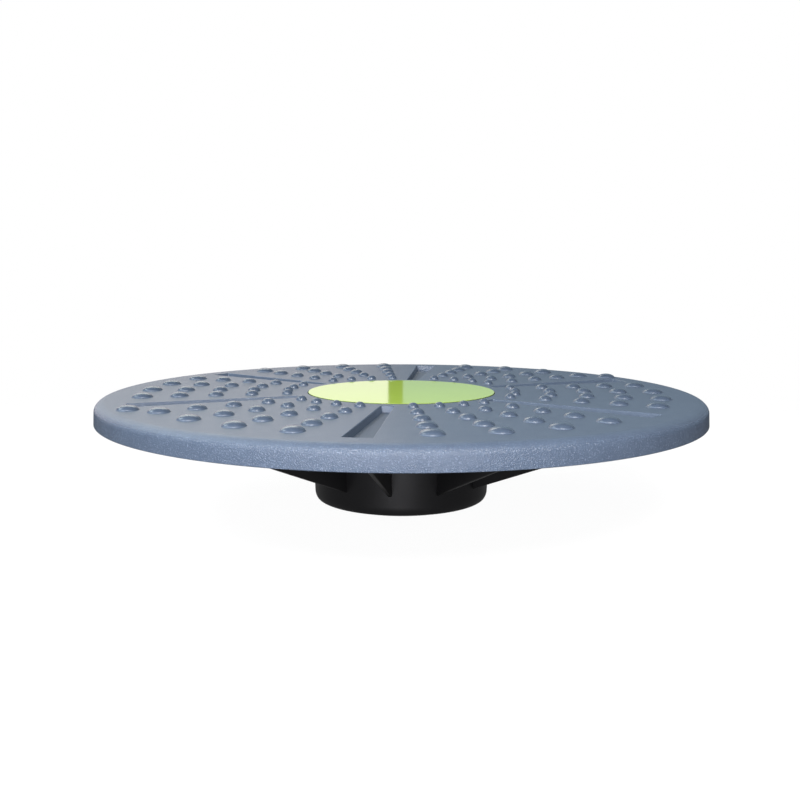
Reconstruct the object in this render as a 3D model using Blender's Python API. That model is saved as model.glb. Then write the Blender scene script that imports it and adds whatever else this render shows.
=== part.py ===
"""Balance board: a round deck with massage bumps, screwed on a domed foot that rocks under the user.

The frame has +Z up from the flat of the rubber sole, -Y towards the front and +X to the right.
The pattern of slots, bumps and gussets repeats every 60 or 30 degrees about Z.
"""

from math import asin, cos, pi, radians, sin, sqrt

import bmesh
import bpy

MM = 0.001
GAP = 0.3 * MM                          # clearance between neighbouring pieces
WALL = 3.0 * MM                         # wall thickness of the mouldings

# Driving dimensions: whole board
BOARD_RADIUS = 200.0 * MM
DECK_TOP_Z = 81.0 * MM                  # the flat that the user stands on
PATTERN_ANGLE = radians(-96.8)          # direction of the slot nearest the front
SECTORS = 6
BAYS = 12                               # spaces between the gussets
TURNING_SEGMENTS = 60
PAD_SEGMENTS = 48
BOSS_SEGMENTS = 16
POST_SEGMENTS = 12                      # posts and counterbores
SCREW_SEGMENTS = 10                     # screws and their holes
BUMP_SEGMENTS = 8

# Driving dimensions: deck
SHOULDER_RADIUS = 7.0 * MM              # how far the shoulder reaches in from the rim
SHOULDER_DROP = 5.5 * MM
SKIRT_BOTTOM_Z = 67.6 * MM
SKIRT_FLARE = 0.4 * MM                  # draft of the skirt from the shoulder to its lower edge
SLOT_INNER_RADIUS = 70.5 * MM
SLOT_OUTER_RADIUS = 181.0 * MM
SLOT_INNER_WIDTH = 8.2 * MM
SLOT_OUTER_WIDTH = 15.6 * MM
SLOT_DEPTH = 4.2 * MM
SLOT_WALL = 2.4 * MM
BUMP_ROWS = 4                           # radial rows between two slots
BUMP_RINGS = 5
BUMP_FIRST_RING = 77.7 * MM
BUMP_RING_STEP = 23.35 * MM
BUMP_FIRST_RADIUS = 3.5 * MM
BUMP_RADIUS_STEP = 0.8 * MM
BUMP_HEIGHT = 3.0 * MM
BUMP_ROOT = 1.0 * MM                    # how deep a bump's body reaches into the deck plate
BUMP_ANGLE_STEP = radians(12)
EXTRA_BUMP_RING = 184.0 * MM
EXTRA_BUMP_RADIUS = 6.6 * MM
EXTRA_BUMP_OFFSET = radians(6.2)        # from the slot beside it
EXTRA_BUMP_SLOTS = (2, 5)               # the two opposite slots that have an extra bump
DECK_RIB_THICKNESS = 2.2 * MM
DECK_RIB_BOTTOM_Z = 72.0 * MM
DECK_RING_RIB_RADIUS = 112.0 * MM

# Driving dimensions: centre disc
DISC_RADIUS = 63.4 * MM
DISC_PROUD = 0.4 * MM                   # how far the disc stands above the deck
DISC_THICKNESS = 3.0 * MM
DISC_EDGE = 0.3 * MM                    # round on the disc's upper edge
SNAP_LEGS = 3
SNAP_RADIUS = 50.0 * MM
SNAP_WIDTH = 12.0 * MM
SNAP_THICKNESS = 1.8 * MM
SNAP_HOOK = 1.3 * MM
SNAP_HOOK_HEIGHT = 1.6 * MM

# Driving dimensions: base
DOME_RADIUS = 190.0 * MM                # radius of the sphere that the board rocks on
DOME_EDGE_RADIUS = 56.3 * MM            # where the dome meets the round at the cup's foot
CUP_FOOT_RADIUS = 59.3 * MM
CUP_FOOT_Z = 14.5 * MM
CUP_TOP_RADIUS = 61.5 * MM
FLANGE_BOTTOM_Z = 68.4 * MM
GUSSET_THICKNESS = 2.6 * MM
GUSSET_FOOT_Z = 20.7 * MM               # height of a gusset's lower edge where it leaves the cup
GUSSET_SLOPE = 0.405
POST_RADIUS = 5.5 * MM
POST_WEB_THICKNESS = 2.2 * MM
POST_WEB_DROP = 2.0 * MM                # from the spigot down to the webs' upper edges
SPIGOT_THICKNESS = 2.6 * MM
SPIGOT_BOTTOM_Z = 66.0 * MM

# Driving dimensions: sole pad
SOLE_RADIUS = 24.0 * MM
SOLE_THICKNESS = 4.0 * MM
SOLE_EDGE = 0.8 * MM

# Driving dimensions: screws
SHANK_RADIUS = 2.0 * MM
SCREW_HOLE_RADIUS = 2.4 * MM
HEAD_RADIUS = 4.2 * MM
HEAD_HEIGHT = 2.6 * MM
CROWN_RADIUS = 2.8 * MM                  # flat part of the head, round the cross
CROSS_LENGTH = 4.6 * MM
CROSS_WIDTH = 1.1 * MM
CROSS_DEPTH = 1.4 * MM
DECK_SCREW_RING = 150.0 * MM
DECK_SCREW_LENGTH = 9.0 * MM
DECK_BOSS_RADIUS = 5.0 * MM
HUB_SCREW_RING = 40.0 * MM
HUB_SCREW_LENGTH = 22.0 * MM
HUB_BOSS_RADIUS = 7.0 * MM
HUB_SCREWS = 6

# Heights and radii that follow from the driving dimensions
FLANGE_TOP_Z = FLANGE_BOTTOM_Z + WALL
BOSS_BOTTOM_Z = FLANGE_TOP_Z + GAP
PLATE_BOTTOM_Z = DECK_TOP_Z - WALL
DISC_TOP_Z = DECK_TOP_Z + DISC_PROUD
DISC_BOTTOM_Z = DISC_TOP_Z - DISC_THICKNESS
RECESS_FLOOR_Z = DISC_BOTTOM_Z - GAP
RECESS_BOTTOM_Z = RECESS_FLOOR_Z - WALL
COUNTERBORE_Z = RECESS_FLOOR_Z - HEAD_HEIGHT - 2 * GAP
SOLE_SEAT_Z = SOLE_THICKNESS + GAP
CUP_FLOOR_Z = SOLE_SEAT_Z + WALL
CUP_MOUTH_RADIUS = CUP_TOP_RADIUS - WALL
SKIRT_INNER_RADIUS = BOARD_RADIUS + SKIRT_FLARE - WALL
FLANGE_RADIUS = SKIRT_INNER_RADIUS - 2 * GAP


def dome_height(radius):
    """Height of the rocking dome at a distance from Z, if it ran on down to the ground."""
    return DOME_RADIUS - sqrt(DOME_RADIUS**2 - radius**2)


def polar(radius, angle, z=0.0):
    return (radius * cos(angle), radius * sin(angle), z)


def ellipse_arc(centre, half_width, half_height, start, end, steps):
    """Points of an elliptical arc in the (r, z) plane, with both ends."""
    angles = [start + (end - start) * step / steps for step in range(steps + 1)]
    return [(centre[0] + half_width * cos(a), centre[1] + half_height * sin(a)) for a in angles]


def add_turned(mesh, outline, segments, centre=(0.0, 0.0)):
    """Add a closed (r, z) outline turned about a vertical axis. A point at r = 0 lies on the axis."""
    rings = []
    for radius, z in outline:
        count = segments if radius > 0 else 1
        ring = []
        for step in range(count):
            x, y, _ = polar(radius, 2 * pi * step / segments)
            ring.append(mesh.verts.new((centre[0] + x, centre[1] + y, z)))
        rings.append(ring)
    for ring, following in zip(rings, rings[1:] + rings[:1]):
        if len(ring) == 1 and len(following) == 1:
            continue
        for step in range(segments):
            after = (step + 1) % segments
            corners = (
                ring[step % len(ring)],
                ring[after % len(ring)],
                following[after % len(following)],
                following[step % len(following)],
            )
            mesh.faces.new(list(dict.fromkeys(corners)))


def add_extruded(mesh, corners, offset):
    """Add the solid between a polygon and the same polygon moved by an offset."""
    first = [mesh.verts.new(corner) for corner in corners]
    second = [mesh.verts.new([c + o for c, o in zip(corner, offset)]) for corner in corners]
    mesh.faces.new(first)
    mesh.faces.new(second)
    for index in range(len(corners)):
        after = (index + 1) % len(corners)
        mesh.faces.new((first[index], first[after], second[after], second[index]))


def add_radial_plate(mesh, outline, thickness, angle):
    """Add an upright plate with an (r, z) outline, which stands along one radius."""
    side_x, side_y, _ = polar(thickness, angle + pi / 2)
    corners = []
    for radius, z in outline:
        x, y, _ = polar(radius, angle)
        corners.append((x - side_x / 2, y - side_y / 2, z))
    add_extruded(mesh, corners, (side_x, side_y, 0.0))


def add_wedge(mesh, angle, inner, outer, bottom, top):
    """Add an upright wedge along one radius: inner and outer are each (radius, width)."""
    corners = []
    for (radius, width), side in ((inner, -1), (outer, -1), (outer, 1), (inner, 1)):
        x, y, _ = polar(radius, angle)
        side_x, side_y, _ = polar(side * width / 2, angle + pi / 2)
        corners.append((x + side_x, y + side_y, bottom))
    add_extruded(mesh, corners, (0.0, 0.0, top - bottom))


def add_cylinder(mesh, radius, bottom, top, centre, segments=BOSS_SEGMENTS):
    add_turned(mesh, [(0, top), (radius, top), (radius, bottom), (0, bottom)], segments, centre)


def new_object(name, mesh):
    """Turn a bmesh of closed bodies into an object whose faces point out."""
    bmesh.ops.recalc_face_normals(mesh, faces=mesh.faces)
    data = bpy.data.meshes.new(name)
    mesh.to_mesh(data)
    mesh.free()
    made = bpy.data.objects.new(name, data)
    bpy.context.scene.collection.objects.link(made)
    return made


def combine(target, operation, *builders):
    """Join or cut a target with all that the builders add to one mesh."""
    mesh = bmesh.new()
    for builder in builders:
        builder(mesh)
    tool = new_object("tool", mesh)
    modifier = target.modifiers.new("combine", "BOOLEAN")
    modifier.operation = operation
    modifier.object = tool
    evaluated = target.evaluated_get(bpy.context.evaluated_depsgraph_get())
    result = bpy.data.meshes.new_from_object(evaluated)
    target.modifiers.remove(modifier)
    old = target.data
    target.data = result
    bpy.data.meshes.remove(old)
    bpy.data.objects.remove(tool)


def plain_material(name, colour, roughness, metallic=0.0):
    material = bpy.data.materials.new(name)
    material.use_nodes = True
    shader = material.node_tree.nodes["Principled BSDF"]
    shader.inputs["Base Color"].default_value = (*colour, 1.0)
    shader.inputs["Roughness"].default_value = roughness
    shader.inputs["Metallic"].default_value = metallic
    return material


def finish(made, material, parent):
    """Drop edges between coplanar faces, shade the round faces smooth and give the material."""
    mesh = bmesh.new()
    mesh.from_mesh(made.data)
    bmesh.ops.dissolve_limit(mesh, angle_limit=radians(0.05), verts=mesh.verts, edges=mesh.edges)
    bmesh.ops.triangulate(mesh, faces=mesh.faces)
    mesh.to_mesh(made.data)
    mesh.free()
    made.data.shade_smooth()
    made.data.set_sharp_from_angle(angle=radians(35))
    made.data.materials.clear()
    made.data.materials.append(material)
    made.parent = parent


def bay_angles():
    """Directions of the bays between the gussets, where the deck's ribs and screws are."""
    return [PATTERN_ANGLE + 2 * pi * (bay + 0.5) / BAYS for bay in range(BAYS)]


def slot_angles():
    return [PATTERN_ANGLE + 2 * pi * slot / SECTORS for slot in range(SECTORS)]


def hub_screw_angles():
    return [PATTERN_ANGLE + 2 * pi * (screw + 0.5) / HUB_SCREWS for screw in range(HUB_SCREWS)]


def snap_angles():
    return [PATTERN_ANGLE + 2 * pi * leg / SNAP_LEGS for leg in range(SNAP_LEGS)]


# Deck

def deck_outline():
    """Half section of the deck without its slots, bumps, radial ribs and bosses."""
    shoulder_centre = (BOARD_RADIUS - SHOULDER_RADIUS, DECK_TOP_Z - SHOULDER_DROP)
    shoulder = ellipse_arc(shoulder_centre, SHOULDER_RADIUS, SHOULDER_DROP, pi / 2, 0, steps=5)
    recess_radius = DISC_RADIUS + GAP
    spigot_radius = CUP_MOUTH_RADIUS - 2 * GAP
    rib = DECK_RIB_THICKNESS / 2
    return [
        (0, RECESS_FLOOR_Z),
        (recess_radius, RECESS_FLOOR_Z),
        (recess_radius, DECK_TOP_Z),
        *shoulder,
        (BOARD_RADIUS + SKIRT_FLARE, SKIRT_BOTTOM_Z),
        (SKIRT_INNER_RADIUS, SKIRT_BOTTOM_Z),
        (SKIRT_INNER_RADIUS, PLATE_BOTTOM_Z),
        (DECK_RING_RIB_RADIUS + rib, PLATE_BOTTOM_Z),
        (DECK_RING_RIB_RADIUS + rib, DECK_RIB_BOTTOM_Z + GAP),
        (DECK_RING_RIB_RADIUS - rib, DECK_RIB_BOTTOM_Z + GAP),
        (DECK_RING_RIB_RADIUS - rib, PLATE_BOTTOM_Z),
        (recess_radius + WALL, PLATE_BOTTOM_Z),
        (recess_radius + WALL, RECESS_BOTTOM_Z),
        (spigot_radius, RECESS_BOTTOM_Z),
        (spigot_radius, SPIGOT_BOTTOM_Z),
        (spigot_radius - SPIGOT_THICKNESS, SPIGOT_BOTTOM_Z),
        (spigot_radius - SPIGOT_THICKNESS, RECESS_BOTTOM_Z),
        (0, RECESS_BOTTOM_Z),
    ]


def add_slot_pockets(mesh):
    """Thick walls round and under each slot."""
    for angle in slot_angles():
        add_wedge(
            mesh, angle,
            (SLOT_INNER_RADIUS - SLOT_WALL, SLOT_INNER_WIDTH + 2 * SLOT_WALL),
            (SLOT_OUTER_RADIUS + SLOT_WALL, SLOT_OUTER_WIDTH + 2 * SLOT_WALL),
            DECK_TOP_Z - SLOT_DEPTH - SLOT_WALL, PLATE_BOTTOM_Z + BUMP_ROOT,
        )


def add_slots(mesh):
    for angle in slot_angles():
        add_wedge(
            mesh, angle,
            (SLOT_INNER_RADIUS, SLOT_INNER_WIDTH), (SLOT_OUTER_RADIUS, SLOT_OUTER_WIDTH),
            DECK_TOP_Z - SLOT_DEPTH, DECK_TOP_Z + BUMP_HEIGHT,
        )


def bump_places():
    """(ring radius, angle, bump radius) of every bump: four rows between two slots, and two extras."""
    places = []
    for slot in slot_angles():
        for row in range(1, BUMP_ROWS + 1):
            for ring in range(BUMP_RINGS):
                place = BUMP_FIRST_RING + ring * BUMP_RING_STEP
                radius = BUMP_FIRST_RADIUS + ring * BUMP_RADIUS_STEP
                places.append((place, slot + row * BUMP_ANGLE_STEP, radius))
    for slot in EXTRA_BUMP_SLOTS:
        places.append((EXTRA_BUMP_RING, slot_angles()[slot] + EXTRA_BUMP_OFFSET, EXTRA_BUMP_RADIUS))
    return places


def add_bumps(mesh):
    for place, angle, radius in bump_places():
        dome = ellipse_arc((0, DECK_TOP_Z), radius, BUMP_HEIGHT, pi / 2, 0, steps=2)
        dome[0] = (0, DECK_TOP_Z + BUMP_HEIGHT)
        root_z = DECK_TOP_Z - BUMP_ROOT
        x, y, _ = polar(place, angle)
        add_turned(mesh, [*dome, (radius, root_z), (0, root_z)], BUMP_SEGMENTS, (x, y))


def add_deck_ribs(mesh):
    """Radial ribs from the spigot to the skirt, one over each bay of the base."""
    inner = CUP_MOUTH_RADIUS - SPIGOT_THICKNESS
    outer = BOARD_RADIUS - WALL / 2
    top = PLATE_BOTTOM_Z + BUMP_ROOT / 2
    for angle in bay_angles():
        outline = [(inner, DECK_RIB_BOTTOM_Z), (outer, DECK_RIB_BOTTOM_Z), (outer, top)]
        outline += [(DISC_RADIUS + WALL, top), (DISC_RADIUS + WALL, RECESS_BOTTOM_Z + GAP)]
        outline += [(inner, RECESS_BOTTOM_Z + GAP)]
        add_radial_plate(mesh, outline, DECK_RIB_THICKNESS, angle)


def add_deck_bosses(mesh):
    for angle in bay_angles():
        x, y, _ = polar(DECK_SCREW_RING, angle)
        add_cylinder(mesh, DECK_BOSS_RADIUS, BOSS_BOTTOM_Z, PLATE_BOTTOM_Z + BUMP_ROOT, (x, y))
    for angle in hub_screw_angles():
        x, y, _ = polar(HUB_SCREW_RING, angle)
        add_cylinder(mesh, HUB_BOSS_RADIUS, BOSS_BOTTOM_Z, RECESS_BOTTOM_Z + BUMP_ROOT, (x, y))


def add_deck_holes(mesh):
    """Blind holes for the deck screws, counterbored holes for the hub screws, snap windows."""
    for angle in bay_angles():
        x, y, _ = polar(DECK_SCREW_RING, angle)
        tip_z = FLANGE_BOTTOM_Z + DECK_SCREW_LENGTH
        add_cylinder(mesh, SCREW_HOLE_RADIUS, SPIGOT_BOTTOM_Z, tip_z, (x, y), SCREW_SEGMENTS)
    for angle in hub_screw_angles():
        centre = polar(HUB_SCREW_RING, angle)[:2]
        bore = HEAD_RADIUS + 2 * GAP
        stepped = [
            (0, DISC_TOP_Z), (bore, DISC_TOP_Z), (bore, COUNTERBORE_Z),
            (SCREW_HOLE_RADIUS, COUNTERBORE_Z), (SCREW_HOLE_RADIUS, SPIGOT_BOTTOM_Z), (0, SPIGOT_BOTTOM_Z),
        ]
        add_turned(mesh, stepped, POST_SEGMENTS, centre)
    for angle in snap_angles():
        width = SNAP_WIDTH + 2 * GAP
        reach = SNAP_THICKNESS / 2 + GAP
        inner = (SNAP_RADIUS - reach, width)
        outer = (SNAP_RADIUS + reach, width)
        add_wedge(mesh, angle, inner, outer, SPIGOT_BOTTOM_Z, DISC_TOP_Z)


def make_deck(parent):
    mesh = bmesh.new()
    add_turned(mesh, deck_outline(), TURNING_SEGMENTS)
    deck = new_object("deck", mesh)
    combine(deck, "UNION", add_slot_pockets)
    combine(deck, "UNION", add_deck_ribs)
    combine(deck, "UNION", add_deck_bosses)
    combine(deck, "UNION", add_bumps)
    combine(deck, "DIFFERENCE", add_slots, add_deck_holes)
    finish(deck, plain_material("deck_plastic", (0.27, 0.30, 0.36), 0.45), parent)


# Centre disc

def add_snap_legs(mesh):
    """Legs that reach through the deck's windows and hook under the recess floor."""
    inner = SNAP_RADIUS - SNAP_THICKNESS / 2
    outer = SNAP_RADIUS + SNAP_THICKNESS / 2
    hook_top = RECESS_BOTTOM_Z - GAP
    hook_bottom = hook_top - SNAP_HOOK_HEIGHT
    root = DISC_BOTTOM_Z + DISC_THICKNESS / 2
    for angle in snap_angles():
        outline = [
            (inner, root), (outer, root), (outer, hook_top), (outer + SNAP_HOOK, hook_top),
            (outer, hook_bottom), (inner, hook_bottom),
        ]
        add_radial_plate(mesh, outline, SNAP_WIDTH, angle)


def make_centre_disc(parent):
    edge_centre = (DISC_RADIUS - DISC_EDGE, DISC_TOP_Z - DISC_EDGE)
    edge = ellipse_arc(edge_centre, DISC_EDGE, DISC_EDGE, pi / 2, 0, steps=3)
    mesh = bmesh.new()
    outline = [(0, DISC_TOP_Z), *edge, (DISC_RADIUS, DISC_BOTTOM_Z), (0, DISC_BOTTOM_Z)]
    add_turned(mesh, outline, TURNING_SEGMENTS)
    disc = new_object("centre_disc", mesh)
    combine(disc, "UNION", add_snap_legs)
    finish(disc, plain_material("disc_plastic", (0.42, 0.58, 0.05), 0.12), parent)


# Base

def base_outline():
    """Half section of the cup with its domed floor, and of the flange."""
    start = asin((SOLE_RADIUS + GAP) / DOME_RADIUS)
    end = asin(DOME_EDGE_RADIUS / DOME_RADIUS)
    dome_centre = (0, DOME_RADIUS)
    dome = ellipse_arc(dome_centre, DOME_RADIUS, DOME_RADIUS, start - pi / 2, end - pi / 2, steps=5)
    edge_z = dome_height(DOME_EDGE_RADIUS)
    foot_width = CUP_FOOT_RADIUS - DOME_EDGE_RADIUS
    foot = ellipse_arc(
        (DOME_EDGE_RADIUS, CUP_FOOT_Z), foot_width, CUP_FOOT_Z - edge_z, -pi / 2, 0, steps=4,
    )
    inner_sphere = DOME_RADIUS - WALL
    seat_radius = SOLE_RADIUS + WALL
    inner_edge = DOME_EDGE_RADIUS - WALL
    inner = asin(inner_edge / inner_sphere)
    seat = asin(seat_radius / inner_sphere)
    floor = ellipse_arc(dome_centre, inner_sphere, inner_sphere, inner - pi / 2, seat - pi / 2, steps=3)
    return [
        (0, SOLE_SEAT_Z),
        (SOLE_RADIUS + GAP, SOLE_SEAT_Z),
        *dome,
        *foot[1:],
        (CUP_TOP_RADIUS, FLANGE_BOTTOM_Z),
        (FLANGE_RADIUS, FLANGE_BOTTOM_Z),
        (FLANGE_RADIUS, FLANGE_TOP_Z),
        (CUP_MOUTH_RADIUS, FLANGE_TOP_Z),
        (CUP_FOOT_RADIUS - WALL, CUP_FOOT_Z),
        *floor,
        (seat_radius, CUP_FLOOR_Z),
        (0, CUP_FLOOR_Z),
    ]


def add_gussets(mesh):
    """Plates that run from the cup out and up to the flange."""
    top = FLANGE_TOP_Z - WALL / 2
    foot = CUP_FOOT_RADIUS - WALL / 2
    tip = foot + (top - GUSSET_FOOT_Z) / GUSSET_SLOPE
    for gusset in range(BAYS):
        angle = PATTERN_ANGLE + 2 * pi * gusset / BAYS
        outline = [(foot, GUSSET_FOOT_Z), (tip, top), (CUP_TOP_RADIUS - WALL / 2, top)]
        add_radial_plate(mesh, outline, GUSSET_THICKNESS, angle)


def add_posts(mesh):
    """Screw posts inside the cup."""
    for angle in hub_screw_angles():
        x, y, _ = polar(HUB_SCREW_RING, angle)
        bottom = dome_height(HUB_SCREW_RING + POST_RADIUS) + GAP
        add_cylinder(mesh, POST_RADIUS, bottom, FLANGE_TOP_Z, (x, y), POST_SEGMENTS)


def add_post_webs(mesh):
    """Webs that tie the posts to the cup's wall."""
    outer = CUP_FOOT_RADIUS - WALL / 2
    bottom = dome_height(CUP_FOOT_RADIUS)
    top = SPIGOT_BOTTOM_Z - POST_WEB_DROP
    for angle in hub_screw_angles():
        outline = [(HUB_SCREW_RING, bottom), (outer, bottom + WALL), (outer, top), (HUB_SCREW_RING, top)]
        add_radial_plate(mesh, outline, POST_WEB_THICKNESS, angle)


def add_base_holes(mesh):
    for angle in bay_angles():
        x, y, _ = polar(DECK_SCREW_RING, angle)
        add_cylinder(mesh, SCREW_HOLE_RADIUS, SPIGOT_BOTTOM_Z, PLATE_BOTTOM_Z, (x, y), SCREW_SEGMENTS)
    for angle in hub_screw_angles():
        x, y, _ = polar(HUB_SCREW_RING, angle)
        bottom = COUNTERBORE_Z - HUB_SCREW_LENGTH
        add_cylinder(mesh, SCREW_HOLE_RADIUS, bottom, PLATE_BOTTOM_Z, (x, y), SCREW_SEGMENTS)


def make_base(parent):
    mesh = bmesh.new()
    add_turned(mesh, base_outline(), TURNING_SEGMENTS)
    base = new_object("base", mesh)
    combine(base, "UNION", add_gussets)
    combine(base, "UNION", add_posts)
    combine(base, "UNION", add_post_webs)
    combine(base, "DIFFERENCE", add_base_holes)
    finish(base, plain_material("base_plastic", (0.012, 0.013, 0.014), 0.4), parent)


# Sole pad

def make_sole_pad(parent):
    edge_centre = (SOLE_RADIUS - SOLE_EDGE, SOLE_EDGE)
    edge = ellipse_arc(edge_centre, SOLE_EDGE, SOLE_EDGE, 0, -pi / 2, steps=3)
    mesh = bmesh.new()
    add_turned(mesh, [(0, SOLE_THICKNESS), (SOLE_RADIUS, SOLE_THICKNESS), *edge, (0, 0)], PAD_SEGMENTS)
    sole = new_object("sole_pad", mesh)
    finish(sole, plain_material("sole_rubber", (0.03, 0.03, 0.032), 0.85), parent)


# Screws

def add_cross_recess(mesh):
    """Cross slot in a screw head whose top is at z = HEAD_HEIGHT."""
    half = CROSS_LENGTH / 2
    width = CROSS_WIDTH / 2
    corners = []
    for quarter in range(4):
        turn = quarter * pi / 2
        for radius, side in ((width, -width), (half, -width), (half, width)):
            x = radius * cos(turn) - side * sin(turn)
            y = radius * sin(turn) + side * cos(turn)
            corners.append((x, y, HEAD_HEIGHT - CROSS_DEPTH))
    add_extruded(mesh, corners, (0.0, 0.0, CROSS_DEPTH + GAP))


def screw_mesh(name, length):
    """Pan-head screw that points down from its head's seat at z = 0."""
    outline = [
        (0, HEAD_HEIGHT), (CROWN_RADIUS, HEAD_HEIGHT), (HEAD_RADIUS, HEAD_HEIGHT / 2), (HEAD_RADIUS, 0),
        (SHANK_RADIUS, 0), (SHANK_RADIUS, SHANK_RADIUS - length), (0, -length),
    ]
    mesh = bmesh.new()
    add_turned(mesh, outline, SCREW_SEGMENTS)
    screw = new_object(name, mesh)
    combine(screw, "DIFFERENCE", add_cross_recess)
    return screw


def make_screws(kind, angles, ring, seat_z, length, turned_over, parent):
    """One screw at each angle, all with the same mesh."""
    steel = plain_material(kind + "_steel", (0.45, 0.45, 0.44), 0.35, 1.0)
    first = screw_mesh(kind + "_1", length)
    finish(first, steel, parent)
    for index, angle in enumerate(angles):
        screw = first
        if index > 0:
            screw = bpy.data.objects.new(f"{kind}_{index + 1}", first.data)
            bpy.context.scene.collection.objects.link(screw)
            screw.parent = parent
        screw.location = polar(ring, angle, seat_z)
        screw.rotation_euler = (pi if turned_over else 0.0, 0.0, angle)


def main():
    for existing in list(bpy.data.objects):
        bpy.data.objects.remove(existing)
    board = bpy.data.objects.new("balance_board", None)
    bpy.context.scene.collection.objects.link(board)
    make_deck(board)
    make_centre_disc(board)
    make_base(board)
    make_sole_pad(board)
    deck_seat = FLANGE_BOTTOM_Z - GAP
    deck_length = DECK_SCREW_LENGTH - GAP
    make_screws("deck_screw", bay_angles(), DECK_SCREW_RING, deck_seat, deck_length, True, board)
    hub_seat = COUNTERBORE_Z + GAP
    hub_length = HUB_SCREW_LENGTH - GAP
    make_screws("hub_screw", hub_screw_angles(), HUB_SCREW_RING, hub_seat, hub_length, False, board)


main()
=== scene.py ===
"""Looks of the balance board: fine meshes, materials, floor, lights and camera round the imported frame."""

from math import asin, cos, pi, radians, sin, sqrt, tan

import bmesh
import bpy
from mathutils import Matrix, Vector
from mathutils.geometry import delaunay_2d_cdt


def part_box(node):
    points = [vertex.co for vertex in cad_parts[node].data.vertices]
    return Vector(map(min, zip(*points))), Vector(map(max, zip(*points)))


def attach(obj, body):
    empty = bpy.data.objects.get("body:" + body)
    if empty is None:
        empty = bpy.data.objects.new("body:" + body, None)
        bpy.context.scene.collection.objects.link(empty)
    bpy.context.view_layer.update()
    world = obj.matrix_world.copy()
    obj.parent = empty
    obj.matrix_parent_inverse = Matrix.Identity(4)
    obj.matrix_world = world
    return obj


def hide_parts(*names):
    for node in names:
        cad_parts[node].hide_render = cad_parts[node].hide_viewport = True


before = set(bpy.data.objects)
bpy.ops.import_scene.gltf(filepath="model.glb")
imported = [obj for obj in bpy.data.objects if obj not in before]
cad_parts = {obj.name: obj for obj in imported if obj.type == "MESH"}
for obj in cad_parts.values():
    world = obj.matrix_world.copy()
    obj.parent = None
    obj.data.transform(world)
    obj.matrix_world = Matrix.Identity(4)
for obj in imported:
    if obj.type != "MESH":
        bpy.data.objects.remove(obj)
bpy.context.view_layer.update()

MM = 0.001
GAP = 0.3 * MM                       # clearance between neighbouring pieces
WALL = 3.0 * MM                      # wall thickness of the mouldings

# Upper corners of the parts' boxes, read from the frame
DECK_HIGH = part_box("deck")[1]
DISC_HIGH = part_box("centre_disc")[1]
BASE_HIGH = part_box("base")[1]
SOLE_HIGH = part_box("sole_pad")[1]

# Pattern of the board
PATTERN_ANGLE = radians(-96.8)       # direction of the slot nearest the front
SECTORS = 6
BAYS = 12                            # spaces between the gussets

# Deck
BUMP_HEIGHT = 3.0 * MM
DECK_TOP_Z = DECK_HIGH[2] - BUMP_HEIGHT
SKIRT_FLARE = 0.4 * MM
SKIRT_RADIUS = DECK_HIGH[0]
BOARD_RADIUS = SKIRT_RADIUS - SKIRT_FLARE
SHOULDER_RADIUS = 7.0 * MM
SHOULDER_DROP = 5.5 * MM
SKIRT_BOTTOM_Z = 67.6 * MM
SKIRT_EDGE = 0.5 * MM                # round on the skirt's lower edges
SLOT_INNER_RADIUS = 70.5 * MM
SLOT_OUTER_RADIUS = 181.0 * MM
SLOT_INNER_WIDTH = 8.2 * MM
SLOT_OUTER_WIDTH = 15.6 * MM
SLOT_DEPTH = 4.2 * MM
SLOT_CORNER = 1.0 * MM               # corner radius in plan
SLOT_LIP = 0.45 * MM                 # round on the slot's upper edge
SLOT_DRAFT = 0.8 * MM                # how far the walls lean in, from the upper edge to the floor
SLOT_WALL = 2.4 * MM
BUMP_ROWS = 4                        # radial rows between two slots
BUMP_RINGS = 5
BUMP_FIRST_RING = 77.7 * MM
BUMP_RING_STEP = 23.35 * MM
BUMP_FIRST_RADIUS = 3.5 * MM
BUMP_RADIUS_STEP = 0.8 * MM
BUMP_ANGLE_STEP = radians(12)
BUMP_FOOT = 0.3 * MM                 # radius of the hollow round at a bump's foot
BUMP_FOOT_END = -pi * 0.9            # angle where that round meets the dome
BUMP_WALL_START = 0.18               # share of a bump's height at which its dome starts
EXTRA_BUMP_RING = 184.0 * MM
EXTRA_BUMP_RADIUS = 6.6 * MM
EXTRA_BUMP_OFFSET = radians(6.2)
EXTRA_BUMP_SLOTS = (2, 5)
DECK_RIB_THICKNESS = 2.2 * MM
DECK_RIB_BOTTOM_Z = 72.0 * MM
DECK_RING_RIB_RADIUS = 112.0 * MM

# Centre disc
DISC_RADIUS = DISC_HIGH[0]
DISC_TOP_Z = DISC_HIGH[2]
DISC_THICKNESS = 3.0 * MM
DISC_EDGE = 0.3 * MM
SNAP_LEGS = 3
SNAP_RADIUS = 50.0 * MM
SNAP_WIDTH = 12.0 * MM
SNAP_THICKNESS = 1.8 * MM
SNAP_HOOK = 1.3 * MM
SNAP_HOOK_HEIGHT = 1.6 * MM

# Base
DOME_RADIUS = 190.0 * MM
DOME_EDGE_RADIUS = 56.3 * MM
CUP_FOOT_RADIUS = 59.3 * MM
CUP_FOOT_Z = 14.5 * MM
CUP_TOP_RADIUS = 61.5 * MM
FLANGE_RADIUS = BASE_HIGH[0]
FLANGE_TOP_Z = BASE_HIGH[2]
FLANGE_BOTTOM_Z = FLANGE_TOP_Z - WALL
GUSSET_THICKNESS = 2.6 * MM
GUSSET_EDGE = 0.6 * MM               # round on a gusset's lower edges
GUSSET_FOOT_Z = 20.7 * MM
GUSSET_SLOPE = 0.405
POST_RADIUS = 5.5 * MM
POST_WEB_THICKNESS = 2.2 * MM
POST_WEB_DROP = 2.0 * MM             # below the deck's spigot
SPIGOT_THICKNESS = 2.6 * MM
SPIGOT_BOTTOM_Z = 66.0 * MM

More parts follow.
